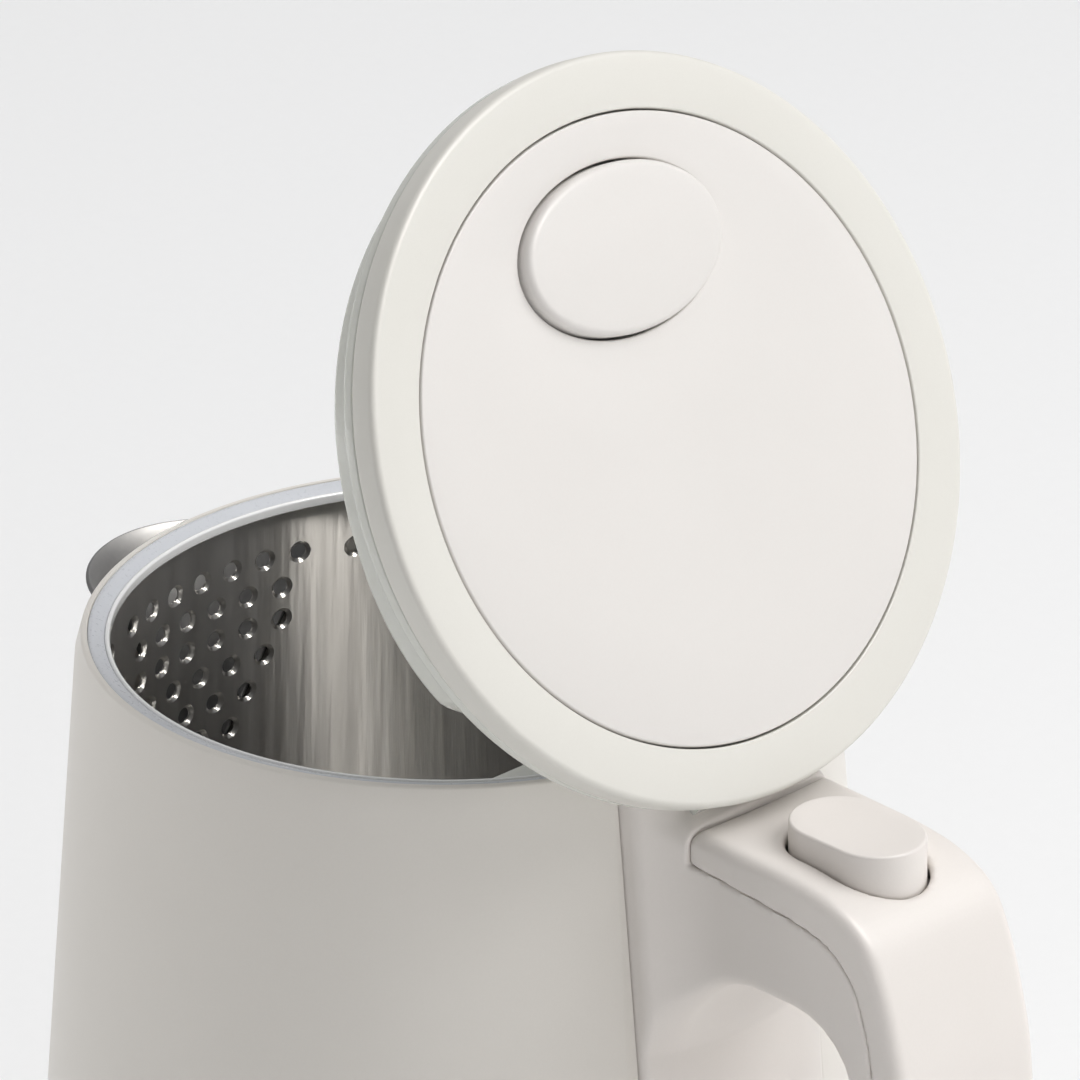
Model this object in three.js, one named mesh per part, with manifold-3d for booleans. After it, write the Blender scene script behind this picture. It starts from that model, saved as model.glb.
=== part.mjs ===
// Cordless electric kettle: double-wall body with a steel vessel, hinged lid with a push-button
// latch, loop handle with a steam-switch button, and a power base it lifts off.
// Millimetres. +Z up, origin on the kettle's axis at table level, spout to -X, handle to +X.
// The lid stands open at its stop, LID_OPEN degrees from closed.
import * as THREE from "three";
import { mergeVertices } from "three/addons/utils/BufferGeometryUtils.js";
import Module from "manifold-3d";

const wasm = await Module();
wasm.setup();

// ---- driving dimensions -------------------------------------------------------------------
const RIM_Z = 205; // height of the mouth's inner lip above the table
const MOUTH_R = 56.2; // inner lip of the mouth
const SHELL_R = 61.75; // outside radius of the body, measured in the plane of the mouth
const TAPER = 0.0876; // the body widens by this much per millimetre downwards
const SHELL_WALL = 2;
const BODY_FOOT_Z = 23; // bottom edge of the body above the table
const GAP = 0.3; // clearance between parts that touch

const LID_R = 60;
const LID_TOP = 9.2; // lid's top face above the mouth when closed
const PANEL_R = 50.35;
const LID_OPEN = 65.2; // degrees
const HINGE_X = 59.3;
const HINGE_DROP = 9.8; // hinge axis below the mouth
const PLUG_R = 55.2;
const PLUG_DEPTH = 7.3; // plug's floor below the mouth, from the latch to the middle
const PLUG_DEEP = 10.6; // and at the end next to the hinge, to which it slopes down
const PLUG_CHORD_X = 40.5; // the plug is cut straight here to clear the hinge ledge

const OVAL = { x: -29.5, radial: 13.35, across: 20.65 }; // lid button
const LID_BUTTON_TRAVEL = 2;
const PILL = { x: 92.35, halfLength: 12.1, halfWidth: 8, top: -3.5 }; // handle button
const PILL_TRAVEL = 4;

const HANDLE_HALF_WIDTH = 15.4;
const ROOT_HALF_WIDTH = 19.7; // the strip of the handle frame that lies in the shell's slot
const ROOT_TOP = -3.5;
const ROOT_BOTTOM = -152;
const COVER_FRONT_X = 70.7;

const VESSEL_R = 58; // inside the vessel just under the mouth
const VESSEL_TAPER = 0.06;
const VESSEL_WALL = 0.8;
const VESSEL_FLOOR_Z = 52;
const HOLE_R = 1.45;
const HOLE_PITCH = 6.6; // degrees round the wall
const HOLE_FIELD = 183.3; // degrees, middle of the strainer's perforations

const SPOUT_TOP = -9.7; // spout lip below the mouth
const SPOUT_REACH = 81.5;
const SPOUT_APEX = -44;

const BASE_R = 77;
const BASE_TOP_Z = 18;
const SEGMENTS = 48;

// ---- geometry helpers ---------------------------------------------------------------------
function solid(geometry) {
  const plain = geometry.index ? geometry.toNonIndexed() : geometry.clone();
  plain.deleteAttribute("normal");
  plain.deleteAttribute("uv");
  const merged = mergeVertices(plain, 1e-4);
  const vertProperties = new Float32Array(merged.attributes.position.array);
  const triVerts = new Uint32Array(merged.index.array);
  if (signedVolume(vertProperties, triVerts) < 0) {
    for (let i = 0; i < triVerts.length; i += 3) {
      const first = triVerts[i];
      triVerts[i] = triVerts[i + 1];
      triVerts[i + 1] = first;
    }
  }
  const mesh = new wasm.Mesh({ numProp: 3, vertProperties, triVerts });
  return new wasm.Manifold(mesh);
}

function signedVolume(points, triangles) {
  const at = (i) => new THREE.Vector3().fromArray(points, 3 * i);
  let volume = 0;
  for (let i = 0; i < triangles.length; i += 3) {
    const [a, b, c] = [at(triangles[i]), at(triangles[i + 1]), at(triangles[i + 2])];
    volume += a.dot(b.cross(c)) / 6;
  }
  return volume;
}

function toGeometry(body) {
  const mesh = body.getMesh();
  const geometry = new THREE.BufferGeometry();
  geometry.setAttribute("position", new THREE.BufferAttribute(new Float32Array(mesh.vertProperties), 3));
  geometry.setIndex(new THREE.BufferAttribute(new Uint32Array(mesh.triVerts), 1));
  return geometry;
}

function join(first, ...others) {
  return others.reduce((sum, other) => sum.add(other), first);
}

function cut(first, ...others) {
  return others.reduce((rest, other) => rest.subtract(other), first);
}

// A closed profile of [radius, height] pairs turned about Z.
function turned(profile, segments = SEGMENTS) {
  const points = profile.map(([r, z]) => new THREE.Vector2(r, z));
  if (profile[0][0] > 0) {
    points.push(points[0].clone());
  }
  const geometry = new THREE.LatheGeometry(points, segments);
  geometry.rotateX(Math.PI / 2);
  return solid(geometry);
}

function ring(inner, outer, low, high, segments = SEGMENTS) {
  return turned([[inner, low], [outer, low], [outer, high], [inner, high]], segments);
}

function disc(radius, low, high, segments = SEGMENTS) {
  return turned([[0, low], [radius, low], [radius, high], [0, high]], segments);
}

function box(x0, x1, y0, y1, z0, z1) {
  const geometry = new THREE.BoxGeometry(x1 - x0, y1 - y0, z1 - z0);
  geometry.translate((x0 + x1) / 2, (y0 + y1) / 2, (z0 + z1) / 2);
  return solid(geometry);
}

// A rod between two points.
function rod(from, to, radius, sides = 12) {
  const start = new THREE.Vector3(...from);
  const along = new THREE.Vector3(...to).sub(start);
  const geometry = new THREE.CylinderGeometry(radius, radius, along.length(), sides);
  geometry.translate(0, along.length() / 2, 0);
  const up = new THREE.Vector3(0, 1, 0);
  const turn = new THREE.Quaternion().setFromUnitVectors(up, along.clone().normalize());
  geometry.applyQuaternion(turn);
  geometry.translate(start.x, start.y, start.z);
  return solid(geometry);
}

// A shape drawn in the XY plane, raised between two heights.
function raised(shape, low, high, curveSegments = 12) {
  const settings = { depth: high - low, bevelEnabled: false, curveSegments };
  const geometry = new THREE.ExtrudeGeometry(shape, settings);
  geometry.translate(0, 0, low);
  return solid(geometry);
}

// A side view drawn in the XZ plane, as wide as 2 * halfWidth along Y, with bevelled edges.
function sideways(shape, halfWidth, bevel = 0, curveSegments = 6) {
  const geometry = new THREE.ExtrudeGeometry(shape, {
    depth: 2 * (halfWidth - bevel),
    bevelEnabled: bevel > 0,
    bevelSize: bevel,
    bevelThickness: bevel,
    bevelOffset: -bevel,
    bevelSegments: 2,
    curveSegments,
  });
  geometry.rotateX(Math.PI / 2);
  geometry.translate(0, halfWidth - bevel, 0);
  return solid(geometry);
}

// A helical spring of round wire about Z.
function spring(radius, wire, low, high, turns) {
  class Helix extends THREE.Curve {
    getPoint(t, target = new THREE.Vector3()) {
      const angle = 2 * Math.PI * turns * t;
      return target.set(radius * Math.cos(angle), radius * Math.sin(angle), low + (high - low) * t);
    }
  }
  const section = new THREE.Shape().absarc(0, 0, wire, 0, 2 * Math.PI);
  const geometry = new THREE.ExtrudeGeometry(section, {
    steps: Math.round(turns * 7),
    curveSegments: 3,
    extrudePath: new Helix(),
  });
  return solid(geometry);
}

// A shape given as [x, y] corners; a corner with a third number is rounded to that radius.
function outline(corners) {
  const shape = new THREE.Shape();
  const count = corners.length;
  corners.forEach(([x, y, radius = 0], i) => {
    const here = new THREE.Vector2(x, y);
    const before = new THREE.Vector2(...corners[(i + count - 1) % count].slice(0, 2));
    const after = new THREE.Vector2(...corners[(i + 1) % count].slice(0, 2));
    const toBefore = before.sub(here).normalize();
    const toAfter = after.sub(here).normalize();
    const half = Math.acos(THREE.MathUtils.clamp(toBefore.dot(toAfter), -1, 1)) / 2;
    const back = radius > 0 ? radius / Math.tan(half) : 0;
    const enter = here.clone().addScaledVector(toBefore, back);
    const leave = here.clone().addScaledVector(toAfter, back);
    if (i === 0) {
      shape.moveTo(enter.x, enter.y);
    } else {
      shape.lineTo(enter.x, enter.y);
    }
    if (back > 0) {
      shape.quadraticCurveTo(here.x, here.y, leave.x, leave.y);
    }
  });
  return shape;
}

function ellipse(x, y, radiusX, radiusY) {
  return new THREE.Shape().absellipse(x, y, radiusX, radiusY, 0, 2 * Math.PI);
}

// A stadium lying along X.
function stadium(x, halfLength, halfWidth) {
  const straight = halfLength - halfWidth;
  const shape = new THREE.Shape();
  shape.moveTo(x - straight, -halfWidth);
  shape.lineTo(x + straight, -halfWidth);
  shape.absarc(x + straight, 0, halfWidth, -Math.PI / 2, Math.PI / 2);
  shape.lineTo(x - straight, halfWidth);
  shape.absarc(x - straight, 0, halfWidth, Math.PI / 2, 1.5 * Math.PI);
  return shape;
}

// Heights and radii of the body, with z measured from the mouth.
const shellRadius = (z) => SHELL_R - TAPER * z;
const vesselRadius = (z) => VESSEL_R - VESSEL_TAPER * (z + 2);
const onWall = (radius, degrees, z) => [
  radius * Math.cos(THREE.MathUtils.degToRad(degrees)),
  radius * Math.sin(THREE.MathUtils.degToRad(degrees)),
  z,
];

// ---- materials and scene graph ------------------------------------------------------------
const FINISH = {
  body: [0xe9e4dc, 0.55, 0],
  lid: [0xeae7e2, 0.5, 0],
  inner: [0xd9d8d2, 0.4, 0],
  rim: [0xc9ced6, 0.35, 0.2],
  steel: [0xa9a7a3, 0.28, 1],
  brass: [0xc8a35a, 0.3, 1],
  aluminium: [0xb9bbbd, 0.45, 1],
  silicone: [0xd8dad8, 0.5, 0],
  rubber: [0x3a3a3c, 0.8, 0],
  nylon: [0xb8b4ac, 0.6, 0],
  wire: [0x55565a, 0.6, 0],
};

function part(name, body, finish) {
  const [color, roughness, metalness] = FINISH[finish];
  const material = new THREE.MeshStandardMaterial({ color, roughness, metalness });
  const mesh = new THREE.Mesh(toGeometry(body), material);
  mesh.name = name;
  return mesh;
}

const kettle = new THREE.Group();
const base = new THREE.Group();
const body = new THREE.Group(); // everything in it is measured from the mouth's plane
body.position.z = RIM_Z;
const lid = new THREE.Group(); // turns about the hinge
lid.position.set(HINGE_X, 0, -HINGE_DROP);
lid.rotation.y = THREE.MathUtils.degToRad(LID_OPEN);
const closedLid = new THREE.Group(); // the lid as it lies when closed
closedLid.position.set(-HINGE_X, 0, HINGE_DROP);
lid.add(closedLid);
body.add(lid);
kettle.add(base, body);

// ---- power base ---------------------------------------------------------------------------
const STEM_R = 15.5; // round connector that the kettle drops over
const STEM_TOP_Z = 31;
const FOOT_CIRCLE = 62;

function baseCover() {
  const skin = turned([
    [STEM_R + 4, 13], [STEM_R + 4, 15.6], [71, 15], [74.8, 13.4], [74.8, 5],
    [BASE_R, 5], [BASE_R, 13], [75.6, 16.2], [71, BASE_TOP_Z - 0.6], [STEM_R + 2, BASE_TOP_Z],
    [STEM_R + GAP, BASE_TOP_Z - 1], [STEM_R + GAP, 13],
  ]);
  const glandHole = rod([60, 0, 8.6], [90, 0, 8.6], 4.3);
  return cut(skin, glandHole);
}

function baseBottom() {
  const plate = disc(74.4, 2.6, 4.7);
  const holes = [60, 180, 300].map((a) => rod(onWall(50, a, 0), onWall(50, a, 10), 1.9));
  return cut(plate, ...holes);
}

function baseConnector() {
  return turned([
    [0, 5], [27, 5], [27, 8], [STEM_R, 9], [STEM_R, STEM_TOP_Z - 1], [STEM_R - 1, STEM_TOP_Z],
    [12, STEM_TOP_Z], [12, 22], [5.6, 22], [5.6, STEM_TOP_Z], [3, STEM_TOP_Z], [3, 20], [0, 20],
  ], 32);
}

base.add(part("base_cover", baseCover(), "body"));
base.add(part("base_bottom_plate", baseBottom(), "body"));
base.add(part("base_connector", baseConnector(), "nylon"));
base.add(part("base_contact_pin", disc(1.9, 20 + GAP, 29, 12), "brass"));
base.add(part("base_contact_ring", ring(6, 7, 22 + GAP, 28, 24), "brass"));
const gland = cut(rod([68, 0, 8.6], [83, 0, 8.6], 3.9), rod([66, 0, 8.6], [85, 0, 8.6], 2));
base.add(part("cord_gland", gland, "rubber"));
[0, 120, 240].forEach((angle, i) => {
  const foot = disc(6, 0, 2.6 - GAP, 20);
  const [x, y] = onWall(FOOT_CIRCLE, angle, 0);
  const mesh = part(`base_foot_${i + 1}`, foot, "rubber");
  mesh.position.set(x, y, 0);
  base.add(mesh);
});
[60, 180, 300].forEach((angle, i) => {
  const screw = join(disc(3, 1.2, 2.6 - GAP, 12), disc(1.4, 2, 4.6, 12));
  const [x, y] = onWall(50, angle, 0);
  const mesh = part(`base_screw_${i + 1}`, screw, "steel");
  mesh.position.set(x, y, 0);
  base.add(mesh);
});

// ---- body: shell, mouth ring, vessel, spout -----------------------------------------------
const FOOT = BODY_FOOT_Z - RIM_Z; // body's bottom edge, from the mouth
const FLOOR = VESSEL_FLOOR_Z - RIM_Z;
const HINGE_BLOCK = { half: 16.8, bottom: -17, front: 51.5, back: 61.6 };

// Wedge that opens towards the mouth: the spout's outline seen from the front.
function spoutWedge(halfTop, top, apex, x0, x1) {
  const shape = new THREE.Shape();
  shape.moveTo(-halfTop, top);
  shape.lineTo(-3, apex);
  shape.lineTo(3, apex);
  shape.lineTo(halfTop, top);
  const geometry = new THREE.ExtrudeGeometry(shape, { depth: x1 - x0, bevelEnabled: false });
  geometry.rotateX(Math.PI / 2);
  geometry.rotateZ(Math.PI / 2);
  geometry.translate(x0, 0, 0);
  return solid(geometry);
}

function outerShell() {
  const inner = (z) => [shellRadius(z) - SHELL_WALL, z];
  const skin = turned([
    inner(FOOT + 0.4), [shellRadius(FOOT) - 0.8, FOOT], [shellRadius(FOOT), FOOT + 1],
    [shellRadius(-60), -60], [shellRadius(-2.8), -2.8], [61.7, -0.9], [61.1, 0.4], [60.4, 0.9],
    [59.95, 0.9], [59.95, -3], inner(-60),
  ]);
  const slot = box(40, 90, -ROOT_HALF_WIDTH - 0.25, ROOT_HALF_WIDTH + 0.25, ROOT_BOTTOM - 0.3, 10);
  const window = spoutWedge(23.3, SPOUT_TOP + 0.6, SPOUT_APEX - 0.6, -90, -30);
  return cut(skin, slot, window);
}

function rimRing() {
  const section = turned([
    [56.6, -1.6], [59.6, -1.6], [59.6, 0.5], [59.2, 0.9], [57, 0.1], [MOUTH_R, -0.5], [MOUTH_R, -1.2],
  ]);
  const notch = box(40, 90, -HINGE_BLOCK.half - GAP, HINGE_BLOCK.half + GAP, -10, 10);
  return cut(section, notch);
}

// Rows of [height, first hole, last hole], the holes counted in half pitches from the middle.
const HOLE_ROWS = [
  [-10.6, -6, 6], [-16.6, -5, 5], [-22.6, -5, 5], [-28.6, -4, 4], [-34.6, -3, 3], [-40.6, -2, 2],
];

function innerVessel() {
  const wall = (z) => [vesselRadius(z), z];
  const outer = (z) => [vesselRadius(z) + VESSEL_WALL, z];
  const sheet = turned([
    [0, FLOOR - 1], [vesselRadius(FLOOR) - 4, FLOOR - 1],
    outer(FLOOR + 4), outer(-2.8), [59.4, -2.8], [59.4, -1.9], wall(-1.9),
    wall(FLOOR + 4.2), [vesselRadius(FLOOR) - 4.4, FLOOR], [0, FLOOR],
  ]);
  const tools = [];
  const pierce = (step, z) => {
    const angle = HOLE_FIELD + (step * HOLE_PITCH) / 2;
    tools.push(rod(onWall(50, angle, z), onWall(70, angle, z), HOLE_R, 6));
  };
  HOLE_ROWS.forEach(([z, first, last]) => {
    for (let step = first; step <= last; step += 2) {
      pierce(step, z);
    }
  });
  pierce(-9, -11.4);
  pierce(9, -11.4);
  const notch = box(40, 90, -HINGE_BLOCK.half - GAP, HINGE_BLOCK.half + GAP, HINGE_BLOCK.bottom - GAP, 10);
  const steamPort = rod([50, 0, -24], [70, 0, -24], 3.4);
  return cut(sheet, notch, steamPort, ...tools);
}

// The spout is one sheet-metal beak: a hollow wedge that runs out to a rounded lip,
// open at the top and at the back, where the perforated wall feeds it.
function spoutBody(reach, halfTop, apex, top) {
  const levels = 6;
  const around = 14;
  const points = [];
  const rows = [];
  for (let level = 0; level <= levels; level += 1) {
    const t = level / levels; // 0 at the apex, 1 at the lip
    const z = apex + (top - apex) * t;
    const root = shellRadius(z) - 6;
    const half = 3 + (halfTop - 3) * t;
    const tip = shellRadius(z) + 0.6 + (reach - shellRadius(top) - 0.6) * Math.pow(t, 1.25);
    const row = [];
    for (let i = 0; i <= around; i += 1) {
      const s = Math.sin(Math.PI * (i / around - 0.5));
      const bulge = Math.pow(Math.max(Math.cos((s * Math.PI) / 2), 0), 0.45);
      const y = half * s;
      const start = Math.sqrt(root * root - half * half);
      row.push([-(start + (tip - start) * bulge), y, z]);
    }
    rows.push(row);
  }
  rows.forEach((row) => points.push(...row));
  const faces = [];
  const width = around + 1;
  for (let level = 0; level < levels; level += 1) {
    for (let i = 0; i < around; i += 1) {
      const a = level * width + i;
      faces.push([a, a + 1, a + width + 1], [a, a + width + 1, a + width]);
    }
    const left = level * width;
    const right = left + around;
    faces.push([right, left, left + width], [right, left + width, right + width]);
  }
  for (let i = 1; i < around; i += 1) {
    faces.push([0, i + 1, i]);
    const top0 = levels * width;
    faces.push([top0, top0 + i, top0 + i + 1]);
  }
  const geometry = new THREE.BufferGeometry();
  geometry.setAttribute("position", new THREE.Float32BufferAttribute(points.flat(), 3));
  geometry.setIndex(faces.flat());
  return solid(geometry);
}

function spout() {
  const outside = spoutBody(SPOUT_REACH, 22.6, SPOUT_APEX, SPOUT_TOP);
  const inside = spoutBody(SPOUT_REACH - 1.2, 21.4, SPOUT_APEX + 2, SPOUT_TOP + 0.01);
  const mouth = inside.translate([0, 0, 0.5]);
  const vesselSide = turned([
    [0, -70], [vesselRadius(-70) + 1.2, -70], [vesselRadius(5) + 1.2, 5], [0, 5],
  ]);
  return cut(outside, inside, mouth, vesselSide);
}

body.add(part("outer_shell", outerShell(), "body"));
body.add(part("rim_ring", rimRing(), "rim"));
body.add(part("inner_vessel", innerVessel(), "steel"));
body.add(part("spout", spout(), "steel"));

// ---- body: heater and controls under the vessel -------------------------------------------
function bottomCover() {
  const outer = shellRadius(FOOT) - SHELL_WALL - GAP;
  const plate = turned([
    [27.3, FOOT + 1], [outer - 1, FOOT + 1], [outer - 0.3, FOOT + 1.6], [outer - 0.9, FOOT + 8],
    [outer - 2.6, FOOT + 8], [outer - 2, FOOT + 3.2], [29.3, FOOT + 3.2], [29.3, FOOT + 6],
    [27.3, FOOT + 6],
  ]);
  const holes = [0, 120, 240].map((a) => rod(onWall(60, a, FOOT - 5), onWall(60, a, FOOT + 20), 1.9));
  return cut(plate, ...holes);
}

function kettleConnector() {
  return turned([
    [0, 38], [26.8, 38], [26.8, 24.6], [STEM_R + 1, 24.6], [STEM_R + 1, 34],
    [10.6, 34], [10.6, 25.5], [7.6, 25.5], [7.6, 34], [0, 34],
  ].map(([r, z]) => [r, z - RIM_Z]), 32);
}

function heatingElement() {
  const arc = new THREE.Shape();
  arc.absarc(0, 0, 41, 0.5, 2 * Math.PI - 0.5);
  arc.absarc(0, 0, 34, 2 * Math.PI - 0.5, 0.5, true);
  const legs = [-0.5, 0.5].map((a) => {
    const x = 37.5 * Math.cos(a);
    const y = 37.5 * Math.sin(a);
    return rod([x, y, FLOOR - 11], [x, y, FLOOR - 17], 2.2, 10);
  });
  return join(raised(arc, FLOOR - 11.5, FLOOR - 5.8, 40), ...legs);
}

body.add(part("bottom_cover", bottomCover(), "body"));
body.add(part("kettle_connector", kettleConnector(), "nylon"));
const contactSleeve = ring(10.9, 11.6, 27 - RIM_Z, 33.7 - RIM_Z, 32);
body.add(part("kettle_contact_sleeve", contactSleeve, "brass"));
body.add(part("heater_plate", disc(57, FLOOR - 5.5, FLOOR - 1.3), "aluminium"));
body.add(part("heating_element", heatingElement(), "steel"));
const thermostat = join(
  disc(22, 38.3 - RIM_Z, 43 - RIM_Z, 28),
  box(-14, 14, -9, 9, 42 - RIM_Z, 44.8 - RIM_Z),
);
body.add(part("thermostat", thermostat, "nylon"));
body.add(part("dry_boil_disc", disc(6, FLOOR - 6.9, FLOOR - 5.8, 20), "brass"));
[0, 120, 240].forEach((angle, i) => {
  const screw = join(disc(3.2, FOOT - 0.6, FOOT + 0.7, 12), disc(1.5, FOOT, FOOT + 10, 12));
  const [x, y] = onWall(60, angle, 0);
  const mesh = part(`bottom_screw_${i + 1}`, screw, "steel");
  mesh.position.set(x, y, 0);
  body.add(mesh);
});

// ---- hinge --------------------------------------------------------------------------------
const ARM = { inner: 8.6, outer: 12.4 };
const PIN_R = 1.3;

function hingeBracket() {
  const ledgeCut = box(-80, 43.5, -80, 80, -30, 30);
  const ledge = cut(disc(MOUTH_R - GAP, -4, -1), ledgeCut);
  const blockShape = outline([
    [HINGE_BLOCK.front, HINGE_BLOCK.bottom], [HINGE_BLOCK.back, HINGE_BLOCK.bottom, 2],
    [HINGE_BLOCK.back, -4, 5], [57.5, -1, 2], [HINGE_BLOCK.front, -1],
  ]);
  const block = sideways(blockShape, HINGE_BLOCK.half);
  const slot = box(53.5, 80, -ARM.outer - 0.4, ARM.outer + 0.4, -14.6, 10);
  const armPath = box(46, 80, -ARM.outer - 0.4, ARM.outer + 0.4, -6, 10);
  const bore = rod([HINGE_X, -30, -HINGE_DROP], [HINGE_X, 30, -HINGE_DROP], PIN_R + 0.05, 16);
  const screwHoles = [-14.8, 14.8].map((y) => rod([40, y, -14.2], [80, y, -14.2], 1.5));
  return cut(join(ledge, block), slot, armPath, bore, ...screwHoles);
}

// The wound part of the torsion spring, round the pin.
function torsionSpring() {
  return spring(2.5, 0.45, -6, 6, 7).rotate([90, 0, 0]).translate([HINGE_X, 0, -HINGE_DROP]);
}

body.add(part("hinge_bracket", hingeBracket(), "inner"));
const pin = rod([HINGE_X, -16.4, -HINGE_DROP], [HINGE_X, 16.4, -HINGE_DROP], PIN_R, 16);
body.add(part("hinge_pin", pin, "steel"));
body.add(part("lid_torsion_spring", torsionSpring(), "steel"));
[-14.8, 14.8].forEach((y, i) => {
  const head = rod([49.6, y, -14.2], [51.2, y, -14.2], 2.6);
  const screw = join(head, rod([51, y, -14.2], [67, y, -14.2], 1.2));
  body.add(part(`hinge_screw_${i + 1}`, screw, "steel"));
});

// ---- handle -------------------------------------------------------------------------------
// Lines of the handle in side view, as x offsets and heights from the mouth.
const SLOPE = TAPER; // the grip runs parallel to the body
const gripX = (x, z, down) => [x + SLOPE * (z - down), down];

function frameOutline() {
  return outline([
    [58, -12.9], [98, -15, 16], [110.4, -34, 14], gripX(110.5, -35.4, -120), [119.5, -142, 14],
    [104, -150, 12], [70, -150],
    [70, -133], [100, -131, 10], gripX(105.2, -45, -112).concat(16), gripX(105.2, -45, -60),
    [104.6, -30.4, 15], [80, -30.2, 14], [64, -42],
  ]);
}

function handleFrame() {
  const loop = sideways(frameOutline(), HANDLE_HALF_WIDTH, 1.5);
  // neck that carries the hinge block, flaring to the width of the root strip
  const neckShape = outline([
    [58, -3.6], [62.2, -3.6, 1], [66, -7.6, 4],
    [COVER_FRONT_X - GAP, -8.2], [COVER_FRONT_X - GAP, -13], [58, -13],
  ]);
  const neck = sideways(neckShape, HANDLE_HALF_WIDTH, 0);
  const flare = new THREE.Shape();
  flare.moveTo(58, -ROOT_HALF_WIDTH);
  flare.lineTo(62, -ROOT_HALF_WIDTH);
  flare.quadraticCurveTo(66, -HANDLE_HALF_WIDTH - 0.8, 80, -HANDLE_HALF_WIDTH);
  flare.lineTo(80, HANDLE_HALF_WIDTH);
  flare.quadraticCurveTo(66, HANDLE_HALF_WIDTH + 0.8, 62, ROOT_HALF_WIDTH);
  flare.lineTo(58, ROOT_HALF_WIDTH);
  const headFlare = raised(flare, -40, -8.4, 4);
  const headLimit = sideways(outline([
    [50, -8.4], [COVER_FRONT_X - GAP, -8.4], [COVER_FRONT_X - GAP, -13.2],
    [82, -13.8], [82, -30.2], [72, -33, 8],
    [66, -40], [50, -40],
  ]), 25);
  const footFlare = raised(flare, -151.5, -126, 4);
  const footShape = outline([[50, -126], [66, -126], [74, -133, 6], [82, -133], [82, -150], [50, -151]]);
  const footLimit = sideways(footShape, 25);
  const strip = cut(
    turned([
      [shellRadius(ROOT_BOTTOM) - 3, ROOT_BOTTOM], [shellRadius(ROOT_BOTTOM), ROOT_BOTTOM],
      [shellRadius(-60), -60], [shellRadius(-2.8), -2.8], [61.4, ROOT_TOP + 2.4],
      [60, ROOT_TOP + 2.4], [60, -3.3], [shellRadius(-3.3) - 3, -3.3], [shellRadius(-60) - 3, -60],
    ]),
    box(-100, 100, ROOT_HALF_WIDTH, 100, -300, 50),
    box(-100, 100, -100, -ROOT_HALF_WIDTH, -300, 50),
    box(-100, 20, -100, 100, -300, 50),
  );
  const behind = turned([
    [0, -300], [shellRadius(-300) - 3, -300], [shellRadius(50) - 3, 50], [0, 50],
  ]);
  const underRim = disc(60, -3.3, 20);
  const shaped = join(loop, neck, headFlare.intersect(headLimit), footFlare.intersect(footLimit));
  const whole = join(cut(shaped, behind, underRim), strip);
  // inside: room for the steam switch and the wires, open towards the cover
  const room = sideways(outline([
    [73, -8], [100, -8], [118, -30], [126, -120], [121, -134], [112, -128],
    gripX(107.4, -45, -112), gripX(107.4, -45, -46), [100, -28], [73, -28],
  ]), 12.9);
  const roomHalf = HINGE_BLOCK.half + GAP;
  const swingShape = outline([
    [55, -14.8], [60.8, -14.8], [66.9, -8.9], [66.9, 10], [55, 10],
  ]);
  // between the arms a tongue of the neck covers the spring
  const tongueShape = outline([
    [61.9, 12], [61.9, -7.4], [62.8, -9], [62.8, -20], [70, -20], [70, 12],
  ]);
  const armSlots = cut(sideways(swingShape, ARM.outer + 0.4), sideways(tongueShape, ARM.inner - 0.4));
  const hingeRoom = join(
    box(50, HINGE_BLOCK.back + GAP, -roomHalf, roomHalf, HINGE_BLOCK.bottom - GAP, 10),
    armSlots,
  );
  const screwHoles = [-14.8, 14.8].map((y) => rod([50, y, -14.2], [69, y, -14.2], 1.5));
  const steamPort = rod([50, 0, -24], [80, 0, -24], 3.4);
  const wirePort = rod([50, 0, -141], [113, 0, -126], 3);
  const coverScrews = [-6, 6].map((y) => join(
    rod([104, y, -170], [104, y, -100], 1.5),
    rod([104, y, -170], [104, y, -146.8], 2.7),
  ));
  return cut(whole, room, hingeRoom, steamPort, wirePort, ...screwHoles, ...coverScrews);
}

function handleCover() {
  const skin = sideways(outline([
    [COVER_FRONT_X, -12.6], [98, -14.7, 16], [110.7, -34, 14], gripX(110.8, -35.4, -120), [119.8, -137],
    [123.4, -138], gripX(116.6, -40, -120), gripX(116.6, -40, -44), [112.6, -8.6, 17], [94, -7.4],
    [COVER_FRONT_X, -6.9],
  ]), HANDLE_HALF_WIDTH, 1.5);
  const room = sideways(outline([
    [73, -16], [73, -9], [94, -9.5], [108, -12, 12], [113.2, -24, 16],
    gripX(114.5, -40, -44), gripX(114.5, -40, -120),
    [112, -120], gripX(109, -40, -60), [100, -20],
  ]), 12.9);
  const buttonHole = raised(stadium(PILL.x, PILL.halfLength + 0.45, PILL.halfWidth + 0.45), -30, 10, 8);
  return cut(skin, room, buttonHole);
}

function powerButton() {
  const cap = raised(stadium(PILL.x, PILL.halfLength, PILL.halfWidth), -14.2, PILL.top - 0.9, 6);
  const crown = raised(stadium(PILL.x, PILL.halfLength - 0.9, PILL.halfWidth - 0.9), -6, PILL.top, 6);
  const flange = raised(stadium(PILL.x, PILL.halfLength + 1, PILL.halfWidth + 1), -14.2, -12.9, 6);
  const stem = rod([PILL.x - 7, 0, -18], [PILL.x - 7, 0, -14], 2, 10);
  return join(cap, crown, flange, stem);
}

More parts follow.
